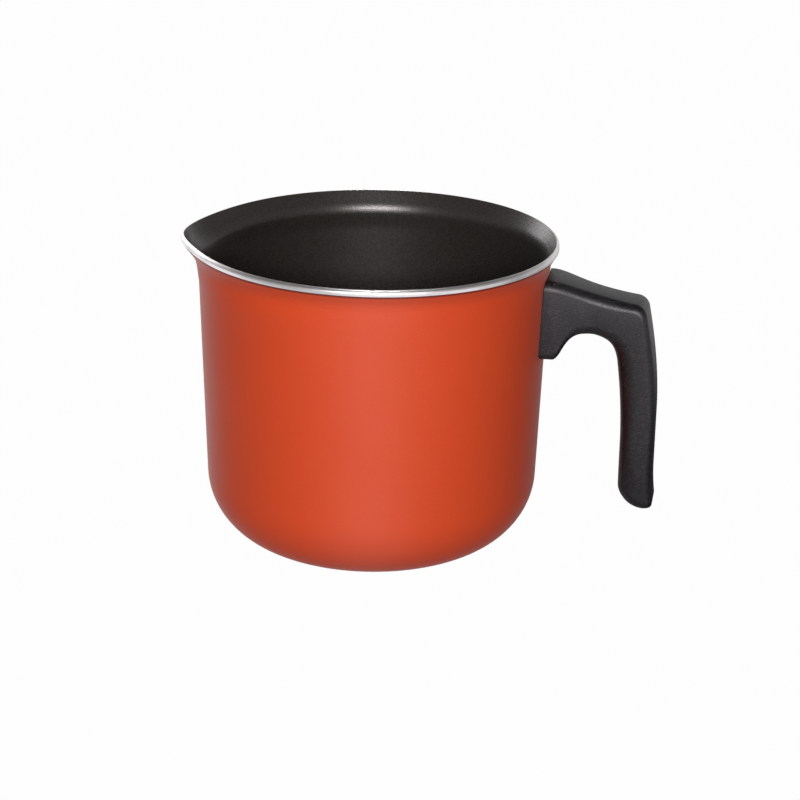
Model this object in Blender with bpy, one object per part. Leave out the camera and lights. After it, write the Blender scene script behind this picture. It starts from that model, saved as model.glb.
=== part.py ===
"""Milk pan: a spun aluminium body with a pulled pouring lip and a moulded hook handle on a riveted bracket.

Metres, +Z up. The origin is the centre of the base's underside. The handle points to +X, the lip to -X.
"""

import math

import bmesh
import bpy
from mathutils import Vector

# Pan body
PAN_HEIGHT = 0.1257
BODY_RADIUS = 0.0700  # outer, where the straight wall meets the flare
LOWER_RADIUS = 0.0670  # outer, where the straight wall meets the bottom corner
CORNER_RADIUS = 0.0290
WALL = 0.0019
BASE_THICKNESS = 0.0026
FLARE_HEIGHT = 0.0097
FLARE_BEND = 0.0090  # outer radius of the bend below the flare's straight cone
FLARE_ANGLE = math.radians(32.5)  # of the cone from the vertical
LIP_BAND = 0.0024  # height of the trimmed, bare edge
LIP_ROUND = 0.0011
GROOVE_START = 0.0130
GROOVE_PITCH = 0.0090
GROOVE_WIDTH = 0.0012
GROOVE_DEPTH = 0.0004
GROOVE_COUNT = 3

# Pouring lip
SPOUT_REACH = 0.0061
SPOUT_DIP = 0.0017
SPOUT_DEPTH = 0.0180
SPOUT_SHOULDER = 0.0020
SPOUT_SPREAD = math.radians(18)
PINCH = 0.0011
PINCH_DEPTH = 0.0159
PINCH_SHOULDER = 0.0085
PINCH_FULL = math.radians(44)
PINCH_END = math.radians(132)

# Handle outline, measured outward from the wall and downward from the handle's top edge
HANDLE_DROP = 0.0112
STRIP_CROWN = 0.0002
STRIP_LEVEL = 0.0070
STRIP_BEND = 0.0142
STRIP_BOW = 0.0051
STRIP_FALL = 0.0082
HOOK_RADIUS = 0.0055
GRIP_DEPTH = 0.0135
GRIP_LEAN = 0.0059
GRIP_LEAN_FALL = 0.0276
GRIP_STRAIGHT = 0.0544
GRIP_LENGTH = 0.0928
BLOCK_HEIGHT = 0.0319
BLOCK_FOOT = 0.0029
ARCH_DROP = 0.0210
ARCH_PEAK = 0.0160
ARCH_FALL = 0.0108
FINGER_GAP = 0.0312
FINGER_LEAN = 0.0027
FINGER_STRAIGHT = 0.0678
END_KICK = 0.0009  # how far the outer face turns out at the grip's end
END_KICK_LENGTH = 0.0150
END_SLOPE = 0.0006
SEAT_OVERRUN = 0.0040

# Handle sections
WIDTH_AT_WALL = 0.0245
WIDTH_AT_HOOK = 0.0197
WIDTH_OF_GRIP = 0.0202
WIDTH_AT_END = 0.0192
TOP_EDGE_AT_WALL = 0.0026
TOP_EDGE_AT_HOOK = 0.0030
OUTER_EDGE_OF_GRIP = 0.0034
BLOCK_EDGE = 0.0028
INNER_EDGE = 0.0048
END_INNER_RADIUS = 0.0086
END_OUTER_RADIUS = 0.0029
END_SIDE_RADIUS = 0.0040

# Bracket, rivets and screw
CLEARANCE = 0.0003
BRACKET_DROP = 0.0098  # from the handle's top edge to the top of the tongue
BRACKET_THICKNESS = 0.0015
BRACKET_WIDTH = 0.0180
BRACKET_HEIGHT = 0.0210
TONGUE_WIDTH = 0.0120
TONGUE_LENGTH = 0.0195
TONGUE_CORNER = 0.0045
TONGUE_BEND = 0.0016
TONGUE_LEG = 0.0030  # overlap of the tongue with the plate
RIVET_RADIUS = 0.0020
RIVET_HEAD_RADIUS = 0.0036
RIVET_HEAD_HEIGHT = 0.0014
RIVET_CHAMFER = 0.0007
RIVET_DROP = 0.0164  # from the top of the tongue to the lower rivet
RIVET_PITCH = 0.0088
SCREW_REACH = 0.0137
SCREW_RADIUS = 0.0020
SCREW_HEAD_RADIUS = 0.0036
SCREW_HEAD_HEIGHT = 0.0022
SCREW_CHAMFER = 0.0007
SCREW_LAND = 0.0042  # moulding held between the washer and the tongue
SCREW_TIP = 0.0020
SLOT_WIDTH = 0.0009
SLOT_DEPTH = 0.0011
WASHER_RADIUS = 0.0035
WASHER_THICKNESS = 0.0010
WASHER_SPLIT = 0.0009
CUT_OVERRUN = 0.0060
WELD = 0.000001

# Facets
AROUND = 88
CORNER_STEPS = 9
SPOUT_STEPS = 5
FLARE_STEPS = 4
CONE_STEPS = 2
LIP_STEPS = 3
EDGE_STEPS = 5
STRIP_STEPS = 12
HOOK_STEPS = 6
LEAN_STEPS = 9
LEAN_STEPS_BY_ARCH = 4
END_STEPS = 5
SMALL_AROUND = 28
SHARP_ANGLE = math.radians(35)

TAPER = math.atan2(BODY_RADIUS - LOWER_RADIUS, PAN_HEIGHT - FLARE_HEIGHT - CORNER_RADIUS)
PULL_DEPTH = max(SPOUT_DEPTH, PINCH_DEPTH)
HANDLE_TOP = PAN_HEIGHT - HANDLE_DROP
BEND_REACH = FLARE_BEND * (math.cos(TAPER) - math.cos(FLARE_ANGLE))
BEND_RISE = FLARE_BEND * (math.sin(FLARE_ANGLE) - math.sin(TAPER))
CONE_RISE = FLARE_HEIGHT - LIP_BAND - BEND_RISE
LIP_RADIUS = BODY_RADIUS + BEND_REACH + CONE_RISE * math.tan(FLARE_ANGLE)
TONGUE_TOP = HANDLE_TOP - BRACKET_DROP
TONGUE_UNDERSIDE = TONGUE_TOP - BRACKET_THICKNESS
SCREW_SEAT = TONGUE_UNDERSIDE - SCREW_LAND
PLATE_TOP = TONGUE_TOP - TONGUE_BEND - BRACKET_THICKNESS
PLATE_BOTTOM = TONGUE_TOP - BRACKET_HEIGHT


def wall_radius(height):
    """Outer radius of the straight wall at a height."""
    return LOWER_RADIUS + (height - CORNER_RADIUS) * math.tan(TAPER)


WALL_AT_HANDLE = wall_radius(HANDLE_TOP)
SCREW_X = WALL_AT_HANDLE + SCREW_REACH


# Helpers


def clear_scene():
    for old in list(bpy.data.objects):
        bpy.data.objects.remove(old, do_unlink=True)


def smooth(value):
    """Smooth step from 0 to 1."""
    value = min(max(value, 0), 1)
    return value * value * (3 - 2 * value)


def arc(centre, radius, start, end, steps):
    """Points of an arc in the XZ plane, both ends included."""
    turns = [start + (end - start) * step / steps for step in range(steps + 1)]
    return [(centre[0] + radius * math.cos(a), centre[1] + radius * math.sin(a)) for a in turns]


def line(start, end, steps):
    """Evenly spaced points of a line, both ends included."""
    return [
        (start[0] + (end[0] - start[0]) * k / steps, start[1] + (end[1] - start[1]) * k / steps)
        for k in range(steps + 1)
    ]


def curve(points, steps):
    """Bezier curve through its control points by repeated halfway steps, both ends included."""
    found = []
    for step in range(steps + 1):
        share = step / steps
        level = [Vector(point) for point in points]
        while len(level) > 1:
            level = [a.lerp(b, share) for a, b in zip(level, level[1:])]
        found.append(tuple(level[0]))
    return found


def material(name, colour, roughness, metallic):
    made = bpy.data.materials.new(name)
    made.use_nodes = True
    shader = made.node_tree.nodes["Principled BSDF"]
    shader.inputs["Base Color"].default_value = (*colour, 1)
    shader.inputs["Roughness"].default_value = roughness
    shader.inputs["Metallic"].default_value = metallic
    return made


def add_object(name, bm, finish=None, location=(0, 0, 0), rotation=(0, 0, 0), parent=None):
    """Turns a bmesh into a placed object with its normals outward and its round faces smooth."""
    bmesh.ops.recalc_face_normals(bm, faces=bm.faces)
    mesh = bpy.data.meshes.new(name)
    bm.to_mesh(mesh)
    bm.free()
    mesh.shade_smooth()
    mesh.set_sharp_from_angle(angle=SHARP_ANGLE)
    made = bpy.data.objects.new(name, mesh)
    bpy.context.scene.collection.objects.link(made)
    made.location = location
    made.rotation_euler = rotation
    made.parent = parent
    if finish:
        mesh.materials.append(finish)
    else:
        made.hide_render = True
        made.display_type = "WIRE"
    return made


def cut(target, cutter, operation="DIFFERENCE"):
    """Adds an exact Boolean of the cutter to the target."""
    boolean = target.modifiers.new(cutter.name, "BOOLEAN")
    boolean.operation = operation
    boolean.solver = "EXACT"
    boolean.object = cutter


def turned(profile, steps):
    """Spins an open profile of (radius, height) points, whose ends lie on the axis, about Z."""
    bm = bmesh.new()
    verts = [bm.verts.new((radius, 0, height)) for radius, height in profile]
    edges = [bm.edges.new(pair) for pair in zip(verts, verts[1:])]
    bmesh.ops.spin(
        bm,
        geom=verts + edges,
        cent=(0, 0, 0),
        axis=(0, 0, 1),
        angle=math.tau,
        steps=steps,
        use_merge=True,
    )
    bmesh.ops.remove_doubles(bm, verts=bm.verts, dist=WELD)
    return bm


def prism(outline, low, high):
    """Extrudes an XY outline from one height to another."""
    bm = bmesh.new()
    face = bm.faces.new([bm.verts.new((x, y, low)) for x, y in outline])
    raised = bmesh.ops.extrude_face_region(bm, geom=[face])["geom"]
    moved = [item for item in raised if isinstance(item, bmesh.types.BMVert)]
    bmesh.ops.translate(bm, verts=moved, vec=(0, 0, high - low))
    return bm


def loft(rings):
    """Skins closed rings of equal point counts and closes both ends."""
    bm = bmesh.new()
    loops = [[bm.verts.new(point) for point in ring] for ring in rings]
    for first, second in zip(loops, loops[1:]):
        count = len(first)
        for k in range(count):
            bm.faces.new((first[k], first[(k + 1) % count], second[(k + 1) % count], second[k]))
    bm.faces.new(reversed(loops[0]))
    bm.faces.new(loops[-1])
    return bm


# Pan body


def base_profile():
    """Underside of the base, from its centre out: a flat face with shallow turned grooves."""
    points = [(0, 0)]
    for ring in range(GROOVE_COUNT):
        start = GROOVE_START + ring * GROOVE_PITCH
        points += [(start, 0), (start, GROOVE_DEPTH)]
        points += [(start + GROOVE_WIDTH, GROOVE_DEPTH), (start + GROOVE_WIDTH, 0)]
    return points


def flare(start, bend, lip_point):
    """Bend that turns the tapered wall outward, then a straight cone up to the lip point."""
    centre = (start[0] + bend * math.cos(TAPER), start[1] - bend * math.sin(TAPER))
    points = arc(centre, bend, math.pi - TAPER, math.pi - FLARE_ANGLE, FLARE_STEPS)
    return points + line(points[-1], lip_point, CONE_STEPS)[1:]


def wall_profile(radius_drop, corner, floor, lip_point):
    """One skin of the body: bottom corner, straight wall, and the flare that ends at the lip point."""
    corner_centre = (LOWER_RADIUS - CORNER_RADIUS, floor + corner)
    points = arc(corner_centre, corner, -math.pi / 2, -TAPER, CORNER_STEPS)
    flare_start = (BODY_RADIUS - radius_drop, PAN_HEIGHT - FLARE_HEIGHT)
    bend_height = PAN_HEIGHT - PULL_DEPTH
    bend_start = (wall_radius(bend_height) - radius_drop, bend_height)
    points += line(points[-1], bend_start, 1)[1:]
    points += line(bend_start, flare_start, SPOUT_STEPS)[1:]
    return points + flare(flare_start, FLARE_BEND + radius_drop, lip_point)[1:]


def pan_profile():
    """Closed section of the body from the outer centre of the base round to its inner centre."""
    outer = wall_profile(0, CORNER_RADIUS, 0, (LIP_RADIUS, PAN_HEIGHT - LIP_BAND))
    lip_centre = (LIP_RADIUS - LIP_ROUND, PAN_HEIGHT - LIP_ROUND)
    lip = arc(lip_centre, LIP_ROUND, 0, math.pi / 2, LIP_STEPS)
    inner_corner = CORNER_RADIUS - WALL
    inner = wall_profile(WALL, inner_corner, BASE_THICKNESS, lip[-1])
    return base_profile() + outer + lip + inner[::-1][1:] + [(0, BASE_THICKNESS)]


def pull_spout(bm):
    """Draws the rim outward at -X into a pointed lip, dips its tip, and draws in the rim on both sides."""
    for vert in bm.verts:
        radius = math.hypot(vert.co.x, vert.co.y)
        below = PAN_HEIGHT - vert.co.z
        if below >= PULL_DEPTH:
            continue
        angle = math.atan2(vert.co.y, -vert.co.x)
        lobe = math.cosh(angle / SPOUT_SPREAD) ** -2
        rise = smooth((SPOUT_DEPTH - below) / (SPOUT_DEPTH - SPOUT_SHOULDER))
        side = 1 - smooth((abs(angle) - PINCH_FULL) / (PINCH_END - PINCH_FULL))
        draw_in = smooth((PINCH_DEPTH - below) / (PINCH_DEPTH - PINCH_SHOULDER))
        moved = SPOUT_REACH * lobe * rise - PINCH * side * draw_in
        vert.co.x *= (radius + moved) / radius
        vert.co.y *= (radius + moved) / radius
        vert.co.z -= SPOUT_DIP * lobe * rise


def make_pan_body(parent):
    bm = turned(pan_profile(), AROUND)
    pull_spout(bm)
    finish = material("orange_enamel", (0.62, 0.085, 0.03), 0.3, 0)
    return add_object("pan_body", bm, finish, parent=parent)


# Handle


def hook_corner(vertex, before, after):
    """Arc that rounds the handle's outer corner, between the directions of its two neighbours."""
    corner = Vector(vertex)
    back = (Vector(before) - corner).normalized()
    forward = (Vector(after) - corner).normalized()
    half = back.angle(forward) / 2
    middle = (back + forward).normalized()
    centre = corner + middle * (HOOK_RADIUS / math.sin(half))
    first = corner + back * (HOOK_RADIUS / math.tan(half)) - centre
    last = corner + forward * (HOOK_RADIUS / math.tan(half)) - centre
    start = math.atan2(first.y, first.x)
    end = math.atan2(last.y, last.x)
    return arc(centre, HOOK_RADIUS, start, end, HOOK_STEPS)


def outer_line():
    """Top strip, outer corner and outer face of the grip, as (outward, height) points from the seat."""
    face = FINGER_GAP + GRIP_DEPTH
    vertex = (face - GRIP_LEAN, -STRIP_FALL)
    strip_bend = (STRIP_BEND, -STRIP_BOW)
    lean_middle = (face, vertex[1] - GRIP_LEAN_FALL)
    corner = hook_corner(vertex, strip_bend, lean_middle)
    strip = curve([(0, 0), (STRIP_LEVEL, STRIP_CROWN), strip_bend, corner[0]], STRIP_STEPS)
    lean = curve([corner[-1], lean_middle, (face, -GRIP_STRAIGHT)], LEAN_STEPS)
    return strip + corner[1:] + lean[1:]


def inner_line():
    """Foot of the block, arch over the fingers and inner face of the grip, with as many points."""
    foot = Vector((BLOCK_FOOT, -BLOCK_HEIGHT))
    peak = Vector((ARCH_PEAK, -ARCH_DROP))
    shoulder = Vector((FINGER_GAP - FINGER_LEAN, -ARCH_DROP - ARCH_FALL))
    end = Vector((FINGER_GAP, -FINGER_STRAIGHT))
    middle = Vector((end.x, (shoulder.y + end.y) / 2))
    rise_shares = (0.34, 0.29)
    rise = [foot]
    rise.append(Vector((foot.x + (peak.x - foot.x) * rise_shares[0], foot.y)))
    rise.append(Vector((foot.x + (peak.x - foot.x) * rise_shares[1], peak.y)))
    rise.append(peak)
    fall_share = 0.62
    fall = [peak]
    fall.append(Vector((peak.x + (shoulder.x - peak.x) * fall_share, peak.y)))
    fall.append(shoulder + (shoulder - middle) * (ARCH_FALL * fall_share / (shoulder.y - middle.y)))
    fall.append(shoulder)
    rise_steps = STRIP_STEPS // 2
    fall_steps = rise_steps + HOOK_STEPS + LEAN_STEPS_BY_ARCH
    points = curve(rise, rise_steps) + curve(fall, fall_steps)[1:]
    return points + curve([shoulder, middle, end], LEAN_STEPS - LEAN_STEPS_BY_ARCH)[1:]


def blend(stops, share):
    """Value at a share of the way through evenly spaced stops, with smooth steps between them."""
    place = min(share * (len(stops) - 1), len(stops) - 1)
    first = min(int(place), len(stops) - 2)
    return stops[first] + (stops[first + 1] - stops[first]) * smooth(place - first)


def section(inner, outer, width, inner_edge, outer_edge):
    """Ring of a rounded rectangle that spans from the inner to the outer point."""
    along = Vector(outer) - Vector(inner)
    depth = along.length
    along.normalize()
    half = width / 2
    most_share = 0.47
    most = min(depth, width) * most_share
    near = min(inner_edge, most)
    far = min(outer_edge, most)
    corners = (
        (depth - far, half - far, far, 0),
        (near, half - near, near, math.pi / 2),
        (near, near - half, near, math.pi),
        (depth - far, far - half, far, math.pi * 3 / 2),
    )
    ring = []
    for reach, side, radius, start in corners:
        for a, y in arc((reach, side), radius, start, start + math.pi / 2, EDGE_STEPS):
            ring.append((inner[0] + along.x * a, y, inner[1] + along.y * a))
    return ring


def handle_rings():
    """Sections of the handle from inside the wall, over the hook and down to the grip's rounded end."""
    inner = [(-SEAT_OVERRUN, -BLOCK_HEIGHT)] + inner_line()
    outer = [(-SEAT_OVERRUN, 0)] + outer_line()
    widths = (WIDTH_AT_WALL, WIDTH_AT_HOOK, WIDTH_OF_GRIP, WIDTH_OF_GRIP)
    inner_edges = (BLOCK_EDGE, INNER_EDGE, INNER_EDGE, INNER_EDGE)
    outer_edges = (TOP_EDGE_AT_WALL, TOP_EDGE_AT_HOOK, OUTER_EDGE_OF_GRIP, OUTER_EDGE_OF_GRIP)
    rings = []
    for place, (low, high) in enumerate(zip(inner, outer)):
        share = place / (len(inner) - 1)
        rings.append(section(low, high, blend(widths, share), blend(inner_edges, share),
                             blend(outer_edges, share)))
    face = FINGER_GAP + GRIP_DEPTH
    kick_height = END_KICK_LENGTH - GRIP_LENGTH
    rings.append(section((FINGER_GAP, kick_height), (face, kick_height), WIDTH_OF_GRIP, INNER_EDGE,
                         OUTER_EDGE_OF_GRIP))
    for step in range(END_STEPS + 1):
        angle = math.pi / 2 * step / END_STEPS
        shrink = 1 - math.cos(angle)
        sink = 1 - math.sin(angle)
        low = (FINGER_GAP + END_INNER_RADIUS * shrink, END_INNER_RADIUS * sink - GRIP_LENGTH)
        high = (face + END_KICK - END_OUTER_RADIUS * shrink,
                END_OUTER_RADIUS * sink - GRIP_LENGTH - END_SLOPE)
        width = WIDTH_AT_END - 2 * END_SIDE_RADIUS * shrink
        rings.append(section(low, high, width, INNER_EDGE, OUTER_EDGE_OF_GRIP))
    return rings


def wall_cutter(parent):
    """Cone of the pan's wall, grown by the seat clearance."""
    low = HANDLE_TOP - BLOCK_HEIGHT - CUT_OVERRUN
    high = HANDLE_TOP + CUT_OVERRUN
    profile = [
        (0, low),
        (wall_radius(low) + CLEARANCE, low),
        (wall_radius(high) + CLEARANCE, high),
        (0, high),
    ]
    return add_object("cut_wall_seat", turned(profile, AROUND * 2), parent=parent)


def wall_strip(inner_gap, outer_gap, width, low, high, steps):
    """Plate that follows the wall: its two faces lie at these gaps from the wall's outer face."""
    half = width / 2
    rings = []
    for step in range(steps + 1):
        side = half * (2 * step / steps - 1)
        ring = []
        for height, gap in ((low, inner_gap), (low, outer_gap), (high, outer_gap), (high, inner_gap)):
            radius = wall_radius(height) + gap
            turn = side / WALL_AT_HANDLE
            ring.append((radius * math.cos(turn), radius * math.sin(turn), height))
        rings.append(ring)
    return loft(rings)


def tongue_strip(grow):
    """Strip that rises off the plate and bends outward, grown on all sides by a clearance."""
    outer_bend = TONGUE_BEND + BRACKET_THICKNESS
    back = wall_radius(PLATE_TOP) + CLEARANCE
    centre = (back + outer_bend, PLATE_TOP)
    inside = arc(centre, TONGUE_BEND - grow, math.pi, math.pi / 2, EDGE_STEPS)
    outside = arc(centre, outer_bend + grow, math.pi, math.pi / 2, EDGE_STEPS)
    leg_end = PLATE_TOP - TONGUE_LEG
    leg_back = wall_radius(leg_end) + CLEARANCE
    tip = WALL_AT_HANDLE + TONGUE_LENGTH + grow
    ring = [(leg_back - grow, leg_end)] + outside + [(tip, outside[-1][1]), (tip, inside[-1][1])]
    ring += inside[::-1] + [(leg_back + BRACKET_THICKNESS + grow, leg_end)]
    half = TONGUE_WIDTH / 2 + grow
    bm = loft([[(x, side, z) for x, z in ring] for side in (-half, half)])
    corners = [
        edge
        for edge in bm.edges
        if min(vert.co.x for vert in edge.verts) > tip - WELD
        and abs(edge.verts[0].co.y - edge.verts[1].co.y) < WELD
    ]
    bmesh.ops.bevel(bm, geom=corners, offset=TONGUE_CORNER, segments=EDGE_STEPS, affect="EDGES",
                    profile=0.5)
    return bm


def screw_cutter(parent):
    """Stepped bore from the arch's underside: washer seat, clearance for the shank and its tip."""
    seat_radius = WASHER_RADIUS + CLEARANCE * 2
    bore = SCREW_RADIUS + CLEARANCE
    low = HANDLE_TOP - BLOCK_HEIGHT
    high = TONGUE_TOP + SCREW_TIP + CLEARANCE
    profile = [(0, low), (seat_radius, low), (seat_radius, SCREW_SEAT)]
    profile += [(bore, SCREW_SEAT), (bore, high), (0, high + bore / 2)]
    return add_object("cut_screw_bore", turned(profile, SMALL_AROUND), location=(SCREW_X, 0, 0),
                      parent=parent)


def make_handle(parent):
    finish = material("black_moulding", (0.028, 0.024, 0.023), 0.42, 0)
    location = (WALL_AT_HANDLE, 0, HANDLE_TOP)
    handle = add_object("handle", loft(handle_rings()), finish, location, parent=parent)
    cut(handle, wall_cutter(parent))

    plate = wall_strip(-CUT_OVERRUN, BRACKET_THICKNESS + 2 * CLEARANCE, BRACKET_WIDTH + 2 * CLEARANCE,
                       PLATE_BOTTOM - CLEARANCE, PLATE_TOP + CLEARANCE, SPOUT_STEPS)
    cut(handle, add_object("cut_plate_recess", plate, parent=parent))

    head_room = BRACKET_THICKNESS + RIVET_HEAD_HEIGHT + 4 * CLEARANCE
    pocket = wall_strip(-CUT_OVERRUN / 2, head_room, 2 * (RIVET_HEAD_RADIUS + 2 * CLEARANCE),
                        PLATE_BOTTOM + CLEARANCE, TONGUE_UNDERSIDE, 2)
    cut(handle, add_object("cut_rivet_pocket", pocket, parent=parent))

    cut(handle, add_object("cut_tongue_slot", tongue_strip(CLEARANCE), parent=parent))
    cut(handle, screw_cutter(parent))
    return handle


# Bracket, rivets and screw


def make_bracket(parent):
    finish = material("pressed_steel", (0.55, 0.55, 0.56), 0.35, 1)
    plate = wall_strip(CLEARANCE, CLEARANCE + BRACKET_THICKNESS, BRACKET_WIDTH, PLATE_BOTTOM,
                       PLATE_TOP, SPOUT_STEPS)
    bracket = add_object("handle_bracket", plate, finish, parent=parent)
    cut(bracket, add_object("join_tongue", tongue_strip(0), parent=parent), "UNION")
    tapped = turned(
        [
            (0, TONGUE_UNDERSIDE - CUT_OVERRUN),
            (SCREW_RADIUS + CLEARANCE, TONGUE_UNDERSIDE - CUT_OVERRUN),
            (SCREW_RADIUS + CLEARANCE, TONGUE_TOP + CUT_OVERRUN),
            (0, TONGUE_TOP + CUT_OVERRUN),
        ],
        SMALL_AROUND,
    )
    cut(bracket, add_object("cut_tapped_hole", tapped, location=(SCREW_X, 0, 0), parent=parent))
    return bracket


def make_rivets(pan, bracket, parent):
    """Two rivets square to the tapered wall, low heads inside the pan and upset heads in the handle."""
    finish = material("rivet_aluminium", (0.8, 0.8, 0.8), 0.3, 1)
    inner = -WALL - CLEARANCE
    outer = BRACKET_THICKNESS + 2 * CLEARANCE
    crown = [
        (RIVET_HEAD_RADIUS * math.sin(a), inner - RIVET_HEAD_HEIGHT * math.cos(a))
        for a in (math.pi / 2 * step / EDGE_STEPS for step in range(EDGE_STEPS + 1))
    ]
    profile = crown + [
        (RIVET_RADIUS, inner),
        (RIVET_RADIUS, outer),
        (RIVET_HEAD_RADIUS, outer),
        (RIVET_HEAD_RADIUS, outer + RIVET_HEAD_HEIGHT - RIVET_CHAMFER),
        (RIVET_HEAD_RADIUS - RIVET_CHAMFER, outer + RIVET_HEAD_HEIGHT),
        (0, outer + RIVET_HEAD_HEIGHT),
    ]
    hole = RIVET_RADIUS + CLEARANCE
    bore = [(0, -CUT_OVERRUN), (hole, -CUT_OVERRUN), (hole, CUT_OVERRUN), (0, CUT_OVERRUN)]
    square = (0, math.pi / 2 + TAPER, 0)
    low = TONGUE_TOP - RIVET_DROP
    for name, height in (("rivet_lower", low), ("rivet_upper", low + RIVET_PITCH)):
        place = (wall_radius(height), 0, height)
        add_object(name, turned(profile, SMALL_AROUND), finish, place, square, parent)
        cutter = add_object(f"cut_{name}", turned(bore, SMALL_AROUND), None, place, square, parent)
        cut(pan, cutter)
        cut(bracket, cutter)


def make_screw(parent):
    finish = material("zinc_steel", (0.62, 0.62, 0.6), 0.3, 1)
    under_head = SCREW_SEAT - WASHER_THICKNESS - 2 * CLEARANCE
    face = under_head - SCREW_HEAD_HEIGHT
    tip = TONGUE_TOP + SCREW_TIP
    profile = [
        (0, face),
        (SCREW_HEAD_RADIUS - SCREW_CHAMFER, face),
        (SCREW_HEAD_RADIUS, face + SCREW_CHAMFER),
        (SCREW_HEAD_RADIUS, under_head),
        (SCREW_RADIUS, under_head),
        (SCREW_RADIUS, tip - SCREW_CHAMFER),
        (SCREW_RADIUS - SCREW_CHAMFER, tip),
        (0, tip),
    ]
    screw = add_object("handle_screw", turned(profile, SMALL_AROUND), finish, (SCREW_X, 0, 0),
                       parent=parent)
    half = SLOT_WIDTH / 2
    reach = SCREW_HEAD_RADIUS + CUT_OVERRUN
    outline = [(-reach, -half), (reach, -half), (reach, half), (-reach, half)]
    slot = prism(outline, face - CUT_OVERRUN, face + SLOT_DEPTH)
    cut(screw, add_object("cut_screw_slot", slot, None, (SCREW_X, 0, 0), parent=parent))


def make_washer(parent):
    finish = material("spring_steel", (0.45, 0.45, 0.47), 0.4, 1)
    top = SCREW_SEAT - CLEARANCE
    low = top - WASHER_THICKNESS
    bore = SCREW_RADIUS + CLEARANCE
    bm = turned([(0, low), (WASHER_RADIUS, low), (WASHER_RADIUS, top), (0, top)], SMALL_AROUND)
    washer = add_object("lock_washer", bm, finish, (SCREW_X, 0, 0), parent=parent)
    over = CUT_OVERRUN / 2
    hole = turned([(0, low - over), (bore, low - over), (bore, top + over), (0, top + over)],
                  SMALL_AROUND)
    cut(washer, add_object("cut_washer_hole", hole, None, (SCREW_X, 0, 0), parent=parent))
    half = WASHER_SPLIT / 2
    outline = [(0, -half), (WASHER_RADIUS + over, -half), (WASHER_RADIUS + over, half), (0, half)]
    split = prism(outline, low - over, top + over)
    cut(washer, add_object("cut_washer_split", split, None, (SCREW_X, 0, 0), parent=parent))


def main():
    clear_scene()
    root = bpy.data.objects.new("milk_pan", None)
    bpy.context.scene.collection.objects.link(root)
    pan = make_pan_body(root)
    make_handle(root)
    bracket = make_bracket(root)
    make_rivets(pan, bracket, root)
    make_screw(root)
    make_washer(root)


main()
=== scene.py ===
"""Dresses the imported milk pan: enamel, non-stick lining, bare lip and base, moulded handle, metal fittings.

Metres, +Z up. The handle points to +X and the pouring lip to -X, as in the frame.
"""

from __future__ import annotations

import logging
import math
from dataclasses import dataclass
from enum import Enum

import bpy
import numpy as np
from mathutils import Matrix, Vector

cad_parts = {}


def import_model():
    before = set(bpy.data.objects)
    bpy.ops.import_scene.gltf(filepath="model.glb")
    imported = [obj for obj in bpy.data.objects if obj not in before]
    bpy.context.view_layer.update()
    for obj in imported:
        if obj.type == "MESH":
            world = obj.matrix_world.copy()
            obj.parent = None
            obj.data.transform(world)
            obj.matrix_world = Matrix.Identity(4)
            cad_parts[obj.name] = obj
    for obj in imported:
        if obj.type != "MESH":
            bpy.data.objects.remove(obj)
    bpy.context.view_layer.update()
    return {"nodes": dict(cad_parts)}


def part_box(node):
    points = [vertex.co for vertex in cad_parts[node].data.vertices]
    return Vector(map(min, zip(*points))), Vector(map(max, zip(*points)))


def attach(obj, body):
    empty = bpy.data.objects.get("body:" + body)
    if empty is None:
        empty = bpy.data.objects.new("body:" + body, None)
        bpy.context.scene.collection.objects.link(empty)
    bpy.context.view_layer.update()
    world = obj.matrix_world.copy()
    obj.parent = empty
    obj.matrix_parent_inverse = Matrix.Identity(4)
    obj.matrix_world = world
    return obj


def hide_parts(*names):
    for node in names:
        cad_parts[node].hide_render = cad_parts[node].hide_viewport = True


log = logging.getLogger("milk_pan")

Array = np.ndarray
Colour = tuple[float, float, float]
Material = bpy.types.Material
Node = bpy.types.Node
Piece = bpy.types.Object
Ramp = tuple[float, float, float, float]
Socket = bpy.types.NodeSocket
Sockets = bpy.types.bpy_prop_collection
Tree = bpy.types.NodeTree
Values = dict[str | int, object]

BODY = "root"
CAMERA_TURN = math.radians(10.2)
SHARP_EDGE = math.radians(40)
WHITE = (1, 1, 1, 1)


# Curves and meshes


def arc(centre: tuple[float, float], radius: float, start: float, end: float, count: int) -> Array:
    """Points of an arc: the centre plus the radius times (cosine, sine) of evenly spaced angles.

    Args:
        centre: Centre in the plane of the profile.
        radius: Radius of the arc.
        start: First angle in radians.
        end: Last angle in radians.
        count: Number of points, both ends included.

    Returns:
        Array of shape (count, 2).
    """
    angle = np.linspace(start, end, count)
    return np.stack([centre[0] + radius * np.cos(angle), centre[1] + radius * np.sin(angle)], axis=1)


def bezier(points: list[tuple[float, float]], count: int) -> Array:
    """Bezier curve: control points weighted by the Bernstein polynomials of an even parameter.

    Args:
        points: Control points.
        count: Number of points on the curve, both ends included.

    Returns:
        Array of shape (count, 2).
    """
    controls = np.array(points, dtype=float)
    degree = len(controls) - 1
    t = np.linspace(0, 1, count)[:, None]
    powers = np.arange(degree + 1)
    choose = np.array([math.comb(degree, k) for k in powers])
    return (choose * t**powers * (1 - t) ** (degree - powers)) @ controls


def smooth(value: Array) -> Array:
    """Smooth step: 3 v squared minus 2 v cubed, with v held between 0 and 1."""
    v = np.clip(value, 0, 1)
    return v * v * (3 - 2 * v)


def offset(path: Array, distance: Array | float) -> Array:
    """Moves a profile sideways: each point goes to the right of its direction of travel by a distance.

    Args:
        path: Points of shape (n, 2).
        distance: How far, positive to the right; one value, or one for each point.

    Returns:
        Array of shape (n, 2).
    """
    along = np.gradient(path, axis=0)
    along /= np.linalg.norm(along, axis=1)[:, None]
    return path + np.reshape(distance, (-1, 1)) * np.stack([along[:, 1], -along[:, 0]], axis=1)


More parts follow.
